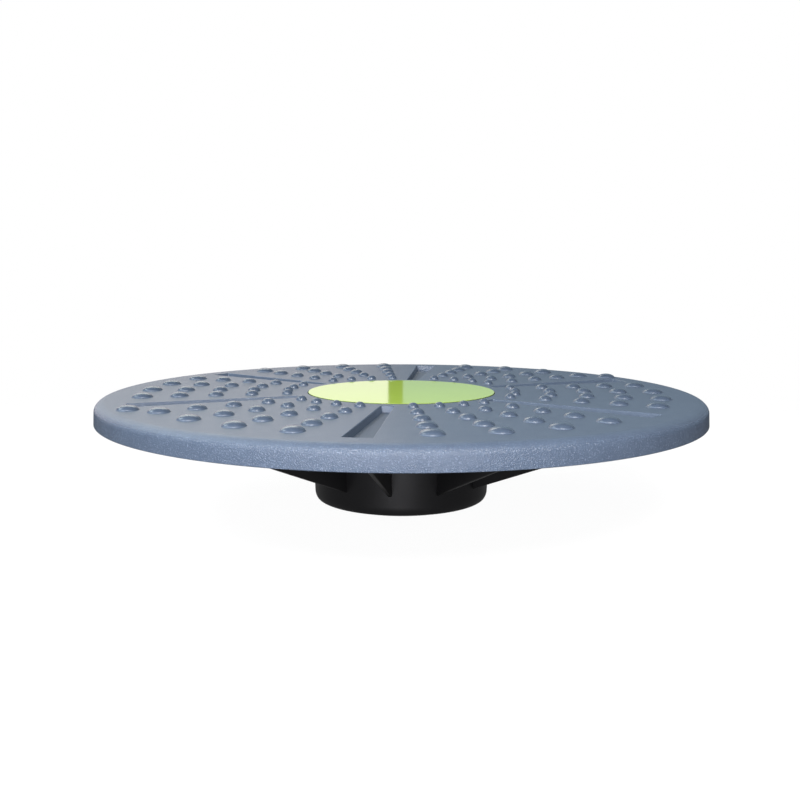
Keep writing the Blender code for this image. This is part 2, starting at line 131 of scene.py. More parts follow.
# Sole pad
SOLE_RADIUS = SOLE_HIGH[0]
SOLE_THICKNESS = SOLE_HIGH[2]
SOLE_EDGE = 0.8 * MM
SOLE_GROOVES = (7 * MM, 11 * MM, 15 * MM, 19 * MM)   # radii
SOLE_GROOVE_WIDTH = 1.0 * MM
SOLE_GROOVE_DEPTH = 0.5 * MM

# Screws
SHANK_RADIUS = 2.0 * MM
CORE_RADIUS = 1.45 * MM
THREAD_PITCH = 1.4 * MM
SCREW_HOLE_RADIUS = 2.4 * MM
HEAD_RADIUS = 4.2 * MM
HEAD_HEIGHT = 2.6 * MM
HEAD_CROWN = 0.55                    # share of the head's radius and height that its crown takes
HEAD_FLAT = 0.45                     # share of the head's radius that stays level
NECK = 1.1                           # radius just under the head, in core radii
CROSS_LENGTH = 4.4 * MM
CROSS_WIDTH = 1.0 * MM
CROSS_DEPTH = 1.5 * MM
CROSS_FLOOR = 0.45                   # length of the cross at its floor, as a share of CROSS_LENGTH
THREAD_HALF = 0.28                   # half width of the thread's foot, in pitches
THREAD_FOOT = 0.9                    # radius of the thread's foot, in core radii
DRIVER_TURN = radians(23)            # between the cross of one screw and of the next
DECK_SCREW_RING = 150.0 * MM
DECK_SCREW_LENGTH = 8.7 * MM
DECK_BOSS_RADIUS = 5.0 * MM
HUB_SCREW_RING = 40.0 * MM
HUB_SCREW_LENGTH = 21.7 * MM
HUB_BOSS_RADIUS = 7.0 * MM
HUB_SCREWS = 6

# Heights that follow
BOSS_BOTTOM_Z = FLANGE_TOP_Z + GAP
PLATE_BOTTOM_Z = DECK_TOP_Z - WALL
RIB_TOP_Z = PLATE_BOTTOM_Z + WALL / 6    # a little way into the plate
DISC_BOTTOM_Z = DISC_TOP_Z - DISC_THICKNESS
RECESS_FLOOR_Z = DISC_BOTTOM_Z - GAP
RECESS_BOTTOM_Z = RECESS_FLOOR_Z - WALL
RECESS_RADIUS = DISC_RADIUS + GAP
COUNTERBORE_Z = RECESS_FLOOR_Z - HEAD_HEIGHT - 2 * GAP
SOLE_SEAT_Z = SOLE_THICKNESS + GAP
CUP_FLOOR_Z = SOLE_SEAT_Z + WALL
CUP_MOUTH_RADIUS = CUP_TOP_RADIUS - WALL
SKIRT_INNER_RADIUS = SKIRT_RADIUS - WALL
SPIGOT_RADIUS = CUP_MOUTH_RADIUS - 2 * GAP

# Fineness of the meshes
RIM_SEGMENTS = 240
DISC_SEGMENTS = 180
CUP_SEGMENTS = 144
BUMP_SEGMENTS = 28
PEG_SEGMENTS = 32                    # bosses, posts and screws
HOLE_SEGMENTS = 24
THREAD_SEGMENTS = 20
FLOOR_SEGMENTS = 96
CREASE_ANGLE = radians(32)           # faces that turn more than this meet in a crease
LEVEL_NORMAL = 1 - 1e-7              # a face is level if its normal stands up at least this much
MERGE_DISTANCE = 1e-8


# Mesh tools

def polar(radius, angle, z=0.0):
    return Vector((radius * cos(angle), radius * sin(angle), z))


def up(height):
    return Vector((0, 0, height))


def arc(centre, half_width, half_height, start, end, steps):
    """Points of an elliptical arc in the (r, z) plane, with both ends."""
    angles = [start + (end - start) * step / steps for step in range(steps + 1)]
    return [(centre[0] + half_width * cos(a), centre[1] + half_height * sin(a)) for a in angles]


def ring(mesh, radius, z, segments, centre=(0.0, 0.0)):
    """A circle of vertices, or the one vertex on the axis where the radius is nothing."""
    middle = Vector((centre[0], centre[1], z))
    if radius <= 0:
        return [mesh.verts.new(middle)]
    angles = [2 * pi * step / segments for step in range(segments)]
    return [mesh.verts.new(middle + polar(radius, angle)) for angle in angles]


def bridge(mesh, first, second):
    """Faces between two loops of the same length, either of which may be one vertex."""
    count = max(len(first), len(second))
    if count == 1:
        return
    for step in range(count):
        after = (step + 1) % count
        corners = (
            first[step % len(first)],
            first[after % len(first)],
            second[after % len(second)],
            second[step % len(second)],
        )
        mesh.faces.new(list(dict.fromkeys(corners)))


def run_on(mesh, start, outline, segments, centre=(0.0, 0.0)):
    """Turn an (r, z) outline on from a loop that is already there."""
    last = start
    for radius, z in outline:
        following = ring(mesh, radius, z, segments, centre)
        bridge(mesh, last, following)
        last = following
    return last


def add_turned(mesh, outline, segments, centre=(0.0, 0.0)):
    """A closed (r, z) outline turned about a vertical axis."""
    first = ring(mesh, *outline[0], segments, centre)
    last = run_on(mesh, first, outline[1:], segments, centre)
    bridge(mesh, last, first)


def add_extruded(mesh, corners, offset):
    """The solid between a polygon and the same polygon moved by an offset."""
    first = [mesh.verts.new(corner) for corner in corners]
    second = [mesh.verts.new(corner + offset) for corner in corners]
    mesh.faces.new(first)
    mesh.faces.new(second)
    bridge(mesh, first, second)
    return first, second


def add_radial_plate(mesh, outline, thickness, angle):
    """An upright plate with an (r, z) outline, which stands along one radius."""
    side = polar(thickness, angle + pi / 2)
    corners = [polar(radius, angle, z) - side / 2 for radius, z in outline]
    return add_extruded(mesh, corners, side)


def add_cylinder(mesh, radius, bottom, top, centre, segments=PEG_SEGMENTS):
    add_turned(mesh, [(0, top), (radius, top), (radius, bottom), (0, bottom)], segments, centre)


def wedge_loop(angle, inner, outer, corner, corner_steps=5):
    """Plan of a wedge along one radius with rounded corners: inner and outer are (radius, width)."""
    along = polar(1, angle)
    across = polar(1, angle + pi / 2)
    corners = [
        along * inner[0] + across * inner[1] / 2,
        along * inner[0] - across * inner[1] / 2,
        along * outer[0] - across * outer[1] / 2,
        along * outer[0] + across * outer[1] / 2,
    ]
    points = []
    for index, point in enumerate(corners):
        before = (corners[index - 1] - point).normalized()
        after = (corners[(index + 1) % 4] - point).normalized()
        half = before.angle(after) / 2
        centre = point + (before + after).normalized() * corner / sin(half)
        first = point + before * corner / tan(half)
        turn = (pi - 2 * half) / corner_steps
        spoke = first - centre
        for step in range(corner_steps + 1):
            points.append(centre + Matrix.Rotation(turn * step, 3, "Z") @ spoke)
    return points


def circle_loop(radius, segments, centre=Vector()):
    return [centre + polar(radius, 2 * pi * step / segments) for step in range(segments)]


def add_pierced_plane(mesh, loops, z):
    """A flat face inside the first loop and outside the others. Returns each loop's vertices."""
    points = []
    edges = []
    spans = []
    for loop in loops:
        start = len(points)
        points += [Vector((point.x, point.y)) for point in loop]
        spans.append(range(start, len(points)))
        edges += [(start + k, start + (k + 1) % len(loop)) for k in range(len(loop))]
    inside_with_holes = 2
    result = delaunay_2d_cdt(points, edges, [], inside_with_holes, MERGE_DISTANCE)
    found, _, faces, origins, _, _ = result
    made = [mesh.verts.new((point.x, point.y, z)) for point in found]
    places = {origin: vertex for vertex, known in zip(made, origins) for origin in known}
    hole_spans = spans[1:]
    for face in faces:
        owners = {origins[k][0] for k in face}
        if any(all(owner in span for owner in owners) for span in hole_spans):
            continue
        mesh.faces.new([made[k] for k in face])
    return [[places[k] for k in span] for span in spans]


def new_piece(name, mesh):
    bmesh.ops.recalc_face_normals(mesh, faces=mesh.faces)
    data = bpy.data.meshes.new(name)
    mesh.to_mesh(data)
    mesh.free()
    piece = bpy.data.objects.new(name, data)
    bpy.context.scene.collection.objects.link(piece)
    return piece


def combine(piece, operation, builder):
    """Join or cut a piece with what the builder adds to an empty mesh."""
    mesh = bmesh.new()
    builder(mesh)
    join(piece, operation, new_piece("tool", mesh))


def join(piece, operation, tool):
    """Join or cut a piece with a tool, which is used up."""
    modifier = piece.modifiers.new("combine", "BOOLEAN")
    modifier.operation = operation
    modifier.object = tool
    evaluated = piece.evaluated_get(bpy.context.evaluated_depsgraph_get())
    result = bpy.data.meshes.new_from_object(evaluated)
    piece.modifiers.remove(modifier)
    old = piece.data
    piece.data = result
    bpy.data.meshes.remove(old)
    tool_data = tool.data
    bpy.data.objects.remove(tool)
    bpy.data.meshes.remove(tool_data)


def shade(piece):
    """Smooth shading, with creases where faces turn sharply and round every level face."""
    mesh = piece.data
    mesh.shade_smooth()
    mesh.set_sharp_from_angle(angle=CREASE_ANGLE)
    work = bmesh.new()
    work.from_mesh(mesh)
    for edge in work.edges:
        if len(edge.link_faces) == 2:
            level = [abs(face.normal.z) > LEVEL_NORMAL for face in edge.link_faces]
            if level[0] != level[1]:
                edge.smooth = False
    work.to_mesh(mesh)
    work.free()


def settle(piece, material, slot, *nodes):
    """Finish a piece: its material, its body and the CAD nodes it stands for. The slot is not used."""
    piece.data.materials.clear()
    piece.data.materials.append(material)
    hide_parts(*nodes)
    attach(piece, "root")


# Places in the pattern

def slot_angles():
    return [PATTERN_ANGLE + 2 * pi * slot / SECTORS for slot in range(SECTORS)]


def gusset_angles():
    return [PATTERN_ANGLE + 2 * pi * gusset / BAYS for gusset in range(BAYS)]


def bay_angles():
    return [PATTERN_ANGLE + 2 * pi * (bay + 0.5) / BAYS for bay in range(BAYS)]


def hub_screw_angles():
    return [PATTERN_ANGLE + 2 * pi * (screw + 0.5) / HUB_SCREWS for screw in range(HUB_SCREWS)]


def snap_angles():
    return [PATTERN_ANGLE + 2 * pi * leg / SNAP_LEGS for leg in range(SNAP_LEGS)]


def bump_places():
    """(centre, radius) of every bump: the rows between the slots, and the two extras."""
    places = []
    for slot in slot_angles():
        for row in range(1, BUMP_ROWS + 1):
            for step in range(BUMP_RINGS):
                place = polar(BUMP_FIRST_RING + step * BUMP_RING_STEP, slot + row * BUMP_ANGLE_STEP)
                places.append((place, BUMP_FIRST_RADIUS + step * BUMP_RADIUS_STEP))
    for slot in EXTRA_BUMP_SLOTS:
        place = polar(EXTRA_BUMP_RING, slot_angles()[slot] + EXTRA_BUMP_OFFSET)
        places.append((place, EXTRA_BUMP_RADIUS))
    return places


# Deck

def bump_outline(radius):
    """From a bump's foot up to its top: a hollow round, then half an ellipse."""
    foot_centre = (radius + BUMP_FOOT, DECK_TOP_Z + BUMP_FOOT)
    foot = arc(foot_centre, BUMP_FOOT, BUMP_FOOT, -pi / 2, BUMP_FOOT_END, steps=4)
    dome = arc((0, DECK_TOP_Z), radius, BUMP_HEIGHT, asin(BUMP_WALL_START), pi / 2, steps=7)
    return foot[1:] + dome[:-1] + [(0, DECK_TOP_Z + BUMP_HEIGHT)]


def slot_plan(angle, spread):
    """A slot's plan, spread outwards all round by a distance, or inwards where it is negative."""
    inner = (SLOT_INNER_RADIUS - spread, SLOT_INNER_WIDTH + 2 * spread)
    outer = (SLOT_OUTER_RADIUS + spread, SLOT_OUTER_WIDTH + 2 * spread)
    return wedge_loop(angle, inner, outer, max(SLOT_CORNER + spread, SLOT_CORNER / 2))


def add_slot(mesh, rim, angle):
    """From the rim loop on the deck: a small round, the wall and the floor."""
    loops = []
    for lean, drop in arc((0, 0), 1, 1, pi / 2, 0, steps=4)[1:]:
        loops.append((SLOT_LIP * (1 - lean), SLOT_LIP * (1 - drop)))
    loops.append((-SLOT_DRAFT, SLOT_DEPTH))
    last = rim
    for spread, depth in loops:
        height = up(DECK_TOP_Z - depth)
        following = [mesh.verts.new(point + height) for point in slot_plan(angle, spread)]
        bridge(mesh, last, following)
        last = following
    mesh.faces.new(last)


def add_deck_top(mesh):
    """The pierced flat, its bumps and slots. Returns the flat's outer and inner loops."""
    bumps = bump_places()
    slots = slot_angles()
    loops = [
        circle_loop(BOARD_RADIUS - SHOULDER_RADIUS, RIM_SEGMENTS),
        circle_loop(RECESS_RADIUS + DISC_EDGE, DISC_SEGMENTS),
    ]
    loops += [circle_loop(radius + BUMP_FOOT, BUMP_SEGMENTS, place) for place, radius in bumps]
    loops += [slot_plan(angle, SLOT_LIP) for angle in slots]
    outer, inner, *rest = add_pierced_plane(mesh, loops, DECK_TOP_Z)
    for foot, (place, radius) in zip(rest, bumps):
        run_on(mesh, foot, bump_outline(radius), BUMP_SEGMENTS, place)
    for rim, angle in zip(rest[len(bumps):], slots):
        add_slot(mesh, rim, angle)
    return outer, inner


def add_deck_rim(mesh, start):
    """Shoulder and skirt, from the flat's outer loop down to the inside of the skirt."""
    shoulder_centre = (BOARD_RADIUS - SHOULDER_RADIUS, DECK_TOP_Z - SHOULDER_DROP)
    shoulder = arc(shoulder_centre, SHOULDER_RADIUS, SHOULDER_DROP, pi / 2, 0, steps=16)
    outer_centre = (SKIRT_RADIUS - SKIRT_EDGE, SKIRT_BOTTOM_Z + SKIRT_EDGE)
    outer_edge = arc(outer_centre, SKIRT_EDGE, SKIRT_EDGE, 0, -pi / 2, steps=4)
    inner_centre = (SKIRT_INNER_RADIUS + SKIRT_EDGE, SKIRT_BOTTOM_Z + SKIRT_EDGE)
    inner_edge = arc(inner_centre, SKIRT_EDGE, SKIRT_EDGE, -pi / 2, -pi, steps=4)
    return run_on(mesh, start, shoulder[1:] + outer_edge + inner_edge, RIM_SEGMENTS)


def add_deck_underside(mesh, start):
    """Underside of the plate with the slots' pockets, then the recess floor with its spigot."""
    loops = [
        circle_loop(SKIRT_INNER_RADIUS, RIM_SEGMENTS),
        circle_loop(RECESS_RADIUS + WALL, RIM_SEGMENTS),
    ]
    loops += [slot_plan(angle, SLOT_WALL) for angle in slot_angles()]
    outer, inner, *pockets = add_pierced_plane(mesh, loops, PLATE_BOTTOM_Z)
    bridge(mesh, start, outer)
    drop = up(SLOT_DEPTH + SLOT_WALL - WALL)
    for pocket in pockets:
        lowest = [mesh.verts.new(vertex.co - drop) for vertex in pocket]
        bridge(mesh, pocket, lowest)
        mesh.faces.new(lowest)
    spigot_inner = SPIGOT_RADIUS - SPIGOT_THICKNESS
    outline = [
        (RECESS_RADIUS + WALL, RECESS_BOTTOM_Z),
        (SPIGOT_RADIUS, RECESS_BOTTOM_Z),
        (SPIGOT_RADIUS, SPIGOT_BOTTOM_Z),
        (spigot_inner, SPIGOT_BOTTOM_Z),
        (spigot_inner, RECESS_BOTTOM_Z),
        (0, RECESS_BOTTOM_Z),
    ]
    run_on(mesh, inner, outline, RIM_SEGMENTS)


def add_deck_ribs(mesh):
    """Radial ribs under the plate, which step down round the disc's recess."""
    inner = CUP_MOUTH_RADIUS - SPIGOT_THICKNESS
    outer = BOARD_RADIUS - WALL / 2
    step = DISC_RADIUS + WALL
    outline = [
        (inner, DECK_RIB_BOTTOM_Z),
        (outer, DECK_RIB_BOTTOM_Z),
        (outer, RIB_TOP_Z),
        (step, RIB_TOP_Z),
        (step, RECESS_BOTTOM_Z + GAP),
        (inner, RECESS_BOTTOM_Z + GAP),
    ]
    for angle in bay_angles():
        add_radial_plate(mesh, outline, DECK_RIB_THICKNESS, angle)


def add_slot_rooms(mesh):
    """The space of each slot with half of its walls, up into the plate."""
    bottom = up(DECK_TOP_Z - SLOT_DEPTH - SLOT_WALL / 2)
    for angle in slot_angles():
        plan = [point + bottom for point in slot_plan(angle, SLOT_WALL / 2)]
        add_extruded(mesh, plan, up(2 * WALL))


def deck_ring_rib():
    """A ring under the deck that stops at the slots' walls and passes under them."""
    half = DECK_RIB_THICKNESS / 2
    low = DECK_RIB_BOTTOM_Z + GAP
    inner = DECK_RING_RIB_RADIUS - half
    outer = DECK_RING_RIB_RADIUS + half
    mesh = bmesh.new()
    outline = [(outer, RIB_TOP_Z), (outer, low), (inner, low), (inner, RIB_TOP_Z)]
    add_turned(mesh, outline, RIM_SEGMENTS)
    rib = new_piece("ring_rib", mesh)
    combine(rib, "DIFFERENCE", add_slot_rooms)
    return rib


def add_deck_bosses(mesh):
    """Bosses for both kinds of screws, which reach a third of a wall into the plate above."""
    for angle in bay_angles():
        centre = polar(DECK_SCREW_RING, angle)
        add_cylinder(mesh, DECK_BOSS_RADIUS, BOSS_BOTTOM_Z, PLATE_BOTTOM_Z + WALL / 3, centre)
    for angle in hub_screw_angles():
        centre = polar(HUB_SCREW_RING, angle)
        add_cylinder(mesh, HUB_BOSS_RADIUS, BOSS_BOTTOM_Z, RECESS_BOTTOM_Z + WALL / 3, centre)


def add_deck_holes(mesh):
    """Blind holes for the deck screws, counterbored holes for the hub screws, snap windows."""
    tip_z = FLANGE_BOTTOM_Z + DECK_SCREW_LENGTH + GAP
    for angle in bay_angles():
        centre = polar(DECK_SCREW_RING, angle)
        add_cylinder(mesh, SCREW_HOLE_RADIUS, SPIGOT_BOTTOM_Z, tip_z, centre, HOLE_SEGMENTS)
    bore = HEAD_RADIUS + 2 * GAP
    stepped = [
        (0, DISC_TOP_Z),
        (bore, DISC_TOP_Z),
        (bore, COUNTERBORE_Z),
        (SCREW_HOLE_RADIUS, COUNTERBORE_Z),
        (SCREW_HOLE_RADIUS, SPIGOT_BOTTOM_Z),
        (0, SPIGOT_BOTTOM_Z),
    ]
    for angle in hub_screw_angles():
        add_turned(mesh, stepped, HOLE_SEGMENTS, polar(HUB_SCREW_RING, angle))
    width = SNAP_WIDTH + 2 * GAP
    reach = SNAP_THICKNESS / 2 + GAP
    for angle in snap_angles():
        plan = wedge_loop(angle, (SNAP_RADIUS - reach, width), (SNAP_RADIUS + reach, width), 2 * GAP)
        low = [point + up(SPIGOT_BOTTOM_Z) for point in plan]
        add_extruded(mesh, low, up(DISC_TOP_Z - SPIGOT_BOTTOM_Z))


def make_deck(material):
    mesh = bmesh.new()
    outer, inner = add_deck_top(mesh)
    skirt = add_deck_rim(mesh, outer)
    add_deck_underside(mesh, skirt)
    lip_centre = (RECESS_RADIUS + DISC_EDGE, DECK_TOP_Z - DISC_EDGE)
    lip = arc(lip_centre, DISC_EDGE, DISC_EDGE, pi / 2, pi, steps=4)
    recess = lip[1:] + [(RECESS_RADIUS, RECESS_FLOOR_Z), (0, RECESS_FLOOR_Z)]
    run_on(mesh, inner, recess, DISC_SEGMENTS)
    deck = new_piece("deck_moulding", mesh)
    combine(deck, "UNION", add_deck_ribs)
    join(deck, "UNION", deck_ring_rib())
    combine(deck, "UNION", add_deck_bosses)
    combine(deck, "DIFFERENCE", add_deck_holes)
    shade(deck)
    settle(deck, material, "deck_plastic", "deck")


# Centre disc

def add_snap_legs(mesh):
    inner = SNAP_RADIUS - SNAP_THICKNESS / 2
    outer = SNAP_RADIUS + SNAP_THICKNESS / 2
    hook_top = RECESS_BOTTOM_Z - GAP
    hook_bottom = hook_top - SNAP_HOOK_HEIGHT
    root = DISC_BOTTOM_Z + DISC_THICKNESS / 2
    outline = [
        (inner, root),
        (outer, root),
        (outer, hook_top),
        (outer + SNAP_HOOK, hook_top),
        (outer, hook_bottom),
        (inner, hook_bottom),
    ]
    for angle in snap_angles():
        add_radial_plate(mesh, outline, SNAP_WIDTH, angle)


def make_centre_disc(material):
    edge_centre = (DISC_RADIUS - DISC_EDGE, DISC_TOP_Z - DISC_EDGE)
    edge = arc(edge_centre, DISC_EDGE, DISC_EDGE, pi / 2, 0, steps=6)
    mesh = bmesh.new()
    outline = [(0, DISC_TOP_Z), *edge, (DISC_RADIUS, DISC_BOTTOM_Z), (0, DISC_BOTTOM_Z)]
    add_turned(mesh, outline, DISC_SEGMENTS)
    disc = new_piece("disc_cap", mesh)
    combine(disc, "UNION", add_snap_legs)
    shade(disc)
    settle(disc, material, "disc_plastic", "centre_disc")


# Base

def dome_height(radius):
    """Height of the domed underside at a distance from the axis."""
    return DOME_RADIUS - sqrt(DOME_RADIUS**2 - radius**2)


def base_outline():
    """Half section of the cup with its domed floor, and of the flange."""
    start = asin((SOLE_RADIUS + GAP) / DOME_RADIUS)
    end = asin(DOME_EDGE_RADIUS / DOME_RADIUS)
    dome = arc((0, DOME_RADIUS), DOME_RADIUS, DOME_RADIUS, start - pi / 2, end - pi / 2, steps=10)
    foot_width = CUP_FOOT_RADIUS - DOME_EDGE_RADIUS
    foot_height = CUP_FOOT_Z - dome_height(DOME_EDGE_RADIUS)
    foot = arc((DOME_EDGE_RADIUS, CUP_FOOT_Z), foot_width, foot_height, -pi / 2, 0, steps=8)
    inner_sphere = DOME_RADIUS - WALL
    seat_radius = SOLE_RADIUS + WALL
    inner = asin((DOME_EDGE_RADIUS - WALL) / inner_sphere)
    seat = asin(seat_radius / inner_sphere)
    floor = arc((0, DOME_RADIUS), inner_sphere, inner_sphere, inner - pi / 2, seat - pi / 2, steps=5)
    return [
        (0, SOLE_SEAT_Z),
        (SOLE_RADIUS + GAP, SOLE_SEAT_Z),
        *dome,
        *foot[1:],
        (CUP_TOP_RADIUS, FLANGE_BOTTOM_Z),
        (FLANGE_RADIUS - GAP, FLANGE_BOTTOM_Z),
        (FLANGE_RADIUS, FLANGE_BOTTOM_Z + GAP),
        (FLANGE_RADIUS, FLANGE_TOP_Z),
        (CUP_MOUTH_RADIUS, FLANGE_TOP_Z),
        (CUP_FOOT_RADIUS - WALL, CUP_FOOT_Z),
        *floor,
        (seat_radius, CUP_FLOOR_Z),
        (0, CUP_FLOOR_Z),
    ]


def add_gussets(mesh):
    """Plates from the cup out and up to the flange, with the lower edges rounded."""
    top = FLANGE_TOP_Z - WALL / 2
    foot = CUP_FOOT_RADIUS - WALL / 2
    tip = foot + (top - GUSSET_FOOT_Z) / GUSSET_SLOPE
    outline = [(foot, GUSSET_FOOT_Z), (tip, top), (CUP_TOP_RADIUS - WALL / 2, top)]
    lower = []
    for angle in gusset_angles():
        for side in add_radial_plate(mesh, outline, GUSSET_THICKNESS, angle):
            lower.append(mesh.edges.get((side[0], side[1])))
    bmesh.ops.bevel(mesh, geom=lower, offset=GUSSET_EDGE, segments=3, profile=0.5, affect="EDGES")


def add_posts(mesh):
    """Posts for the hub screws, which stand on the dome inside the cup."""
    bottom = dome_height(HUB_SCREW_RING + POST_RADIUS) + GAP
    for angle in hub_screw_angles():
        add_cylinder(mesh, POST_RADIUS, bottom, FLANGE_TOP_Z, polar(HUB_SCREW_RING, angle))


def add_post_webs(mesh):
    """Webs from the posts out to the cup's wall."""
    inner = HUB_SCREW_RING
    outer = CUP_FOOT_RADIUS - WALL / 2
    bottom = dome_height(CUP_FOOT_RADIUS)
    top = SPIGOT_BOTTOM_Z - POST_WEB_DROP
    outline = [(inner, bottom), (outer, bottom + WALL), (outer, top), (inner, top)]
    for angle in hub_screw_angles():
        add_radial_plate(mesh, outline, POST_WEB_THICKNESS, angle)


def add_base_holes(mesh):
    """Holes through the flange for the deck screws, and blind ones in the posts."""
    for angle in bay_angles():
        centre = polar(DECK_SCREW_RING, angle)
        add_cylinder(mesh, SCREW_HOLE_RADIUS, SPIGOT_BOTTOM_Z, PLATE_BOTTOM_Z, centre, HOLE_SEGMENTS)
    tip_z = COUNTERBORE_Z - HUB_SCREW_LENGTH - GAP
    for angle in hub_screw_angles():
        centre = polar(HUB_SCREW_RING, angle)
        add_cylinder(mesh, SCREW_HOLE_RADIUS, tip_z, PLATE_BOTTOM_Z, centre, HOLE_SEGMENTS)


def make_base(material):
    mesh = bmesh.new()
    add_turned(mesh, base_outline(), CUP_SEGMENTS)
    base = new_piece("base_moulding", mesh)
    combine(base, "UNION", add_gussets)
    combine(base, "UNION", add_posts)
    combine(base, "UNION", add_post_webs)
    combine(base, "DIFFERENCE", add_base_holes)
    shade(base)
    settle(base, material, "base_plastic", "base")


# Sole pad

def sole_outline():
    """Half section of the pad: a rounded edge, and ring grooves in its underside."""
    edge_centre = (SOLE_RADIUS - SOLE_EDGE, SOLE_EDGE)
    outline = [(0, SOLE_THICKNESS), (SOLE_RADIUS, SOLE_THICKNESS)]
    outline += arc(edge_centre, SOLE_EDGE, SOLE_EDGE, 0, -pi / 2, steps=5)
    for radius in reversed(SOLE_GROOVES):
        outline += arc((radius, 0), SOLE_GROOVE_WIDTH / 2, SOLE_GROOVE_DEPTH, 0, pi, steps=6)
    outline.append((0, 0))
    return outline


def make_sole(material):
    mesh = bmesh.new()
    add_turned(mesh, sole_outline(), CUP_SEGMENTS)
    sole = new_piece("sole_rubber_pad", mesh)
    shade(sole)
    settle(sole, material, "sole_rubber", "sole_pad")


# Screws

def add_cross_recess(mesh):
    """A cross slot that narrows downwards, in a head whose top is at z = HEAD_HEIGHT."""
    levels = []
    for z, share in ((HEAD_HEIGHT - CROSS_DEPTH, CROSS_FLOOR), (HEAD_HEIGHT + GAP, 1.0)):
        tip = CROSS_LENGTH / 2 * share
        half = CROSS_WIDTH / 2
        corners = []
        for quarter in range(4):
            for along, across in ((half, -half), (tip, -half), (tip, half)):
                point = Vector((along, across, 0))
                point.rotate(Matrix.Rotation(quarter * pi / 2, 3, "Z"))
                corners.append(mesh.verts.new(point + up(z)))
        levels.append(corners)
    bridge(mesh, *levels)
    for corners in levels:
        mesh.faces.new(corners)


def add_thread(mesh, length):
    """A ridge wound round the core, which fades out over the first and the last turn."""
    start_z = -THREAD_PITCH
    end_z = 2 * SHANK_RADIUS - length
    steps = int((start_z - end_z) / THREAD_PITCH * THREAD_SEGMENTS)
    foot = CORE_RADIUS * THREAD_FOOT
    half = THREAD_PITCH * THREAD_HALF
    last = None
    for step in range(steps + 1):
        angle = 2 * pi * step / THREAD_SEGMENTS
        z = start_z - THREAD_PITCH * step / THREAD_SEGMENTS
        fade = min(1.0, (step + 1) / THREAD_SEGMENTS, (steps - step + 1) / THREAD_SEGMENTS)
        crest = CORE_RADIUS + (SHANK_RADIUS - CORE_RADIUS) * fade
        section = [
            mesh.verts.new(polar(foot, angle, z + half)),
            mesh.verts.new(polar(crest, angle, z)),
            mesh.verts.new(polar(foot, angle, z - half)),
        ]
        if last is None:
            mesh.faces.new(section)
        else:
            bridge(mesh, last, section)
        last = section
    mesh.faces.new(last)


def screw_piece(name, length):
    """Pan-head screw that points down from its head's seat at z = 0."""
    crown_drop = HEAD_HEIGHT * HEAD_CROWN
    crown_centre = (HEAD_RADIUS * HEAD_FLAT, HEAD_HEIGHT - crown_drop)
    crown = arc(crown_centre, HEAD_RADIUS * HEAD_CROWN, crown_drop, pi / 2, 0, steps=6)
    outline = [
        (0, HEAD_HEIGHT),
        *crown,
        (HEAD_RADIUS, GAP / 2),
        (HEAD_RADIUS - GAP / 2, 0),
        (CORE_RADIUS * NECK, 0),
        (CORE_RADIUS, -GAP),
        (CORE_RADIUS, 2 * CORE_RADIUS - length),
        (0, -length),
    ]
    mesh = bmesh.new()
    add_turned(mesh, outline, PEG_SEGMENTS)
    screw = new_piece(name, mesh)
    combine(screw, "DIFFERENCE", add_cross_recess)
    combine(screw, "UNION", lambda work: add_thread(work, length))
    shade(screw)
    return screw


def make_screws(kind, material, angles, radius, seat_z, length, turned_over):
    """One screw at each angle, each turned a little differently as a driver leaves them."""
    data = None
    for index, angle in enumerate(angles):
        name = f"{kind}_{index + 1}"
        if data is None:
            screw = screw_piece(name + "_steel", length)
            data = screw.data
        else:
            screw = bpy.data.objects.new(name + "_steel", data)
            bpy.context.scene.collection.objects.link(screw)
        screw.location = polar(radius, angle, seat_z)
        screw.rotation_euler = (pi if turned_over else 0.0, 0.0, angle + index * DRIVER_TURN)
        settle(screw, material, "screw_steel", name)


# Materials

# Linear colours
DECK_DARK = (0.078, 0.106, 0.156)
DECK_LIGHT = (0.090, 0.122, 0.176)
DECK_PAINTED_SHADE = (0.055, 0.075, 0.11)    # painted shade, which slot floors and bumps lean to
# painted glints: light flecks in the grain that stand in for its sparkle
DECK_PAINTED_GLINT = (0.30, 0.37, 0.50)
LIME_DARK = (0.50, 0.70, 0.100)
LIME_LIGHT = (0.53, 0.74, 0.115)
# painted shade of the gap round the disc
LIME_PAINTED_SHADE = (0.08, 0.11, 0.03)
BLACK_DARK = (0.0055, 0.0055, 0.006)
BLACK_LIGHT = (0.008, 0.008, 0.0085)
RUBBER_DARK = (0.022, 0.022, 0.023)
RUBBER_LIGHT = (0.045, 0.044, 0.042)
STEEL_DARK = (0.50, 0.50, 0.49)
STEEL_LIGHT = (0.66, 0.66, 0.64)

DECK_GRAIN_SIZE = 0.75 * MM
DECK_GRAIN_DEPTH = 0.22 * MM
DECK_MOTTLE_SIZE = 7 * MM
DECK_TOP_GRAIN = 0.25                # strength of the grain on top, against 1 on the rim
DECK_BUMP_GRAIN = 0.2                # and on the bumps, against the top
# share of painted glint flecks on top and on the rim
DECK_TOP_PAINTED_GLINTS = 0.12
DECK_RIM_PAINTED_GLINTS = 0.42
DECK_TOP_ROUGHNESS = 0.44
DECK_BUMP_ROUGHNESS = 0.26
DECK_RIM_GLOSS = 0.20                # how much less rough the rim is than the top
DECK_LIP_GLOSS = 0.24                # and the slots' upper edges
DECK_FLOOR_DULLNESS = 0.12           # how much rougher the slot floors are
DISC_WAVE_SIZE = 14 * MM
DISC_WAVE_DEPTH = 0.012 * MM
DISC_TINT_SIZE = 30 * MM
DISC_SCUFF_SIZE = 2.5 * MM
DISC_EDGE_DULLNESS = 0.6
BASE_GRAIN_SIZE = 0.5 * MM
BASE_GRAIN_DEPTH = 0.015 * MM
BASE_CLOUD_SIZE = 18 * MM
SOLE_DIMPLE_SIZE = 0.8 * MM
SOLE_DIMPLE_DEPTH = 0.04 * MM
SOLE_DUST_SIZE = 9 * MM
STEEL_STAIN_SIZE = 1.6 * MM
STEEL_STAIN_DEPTH = 0.01 * MM


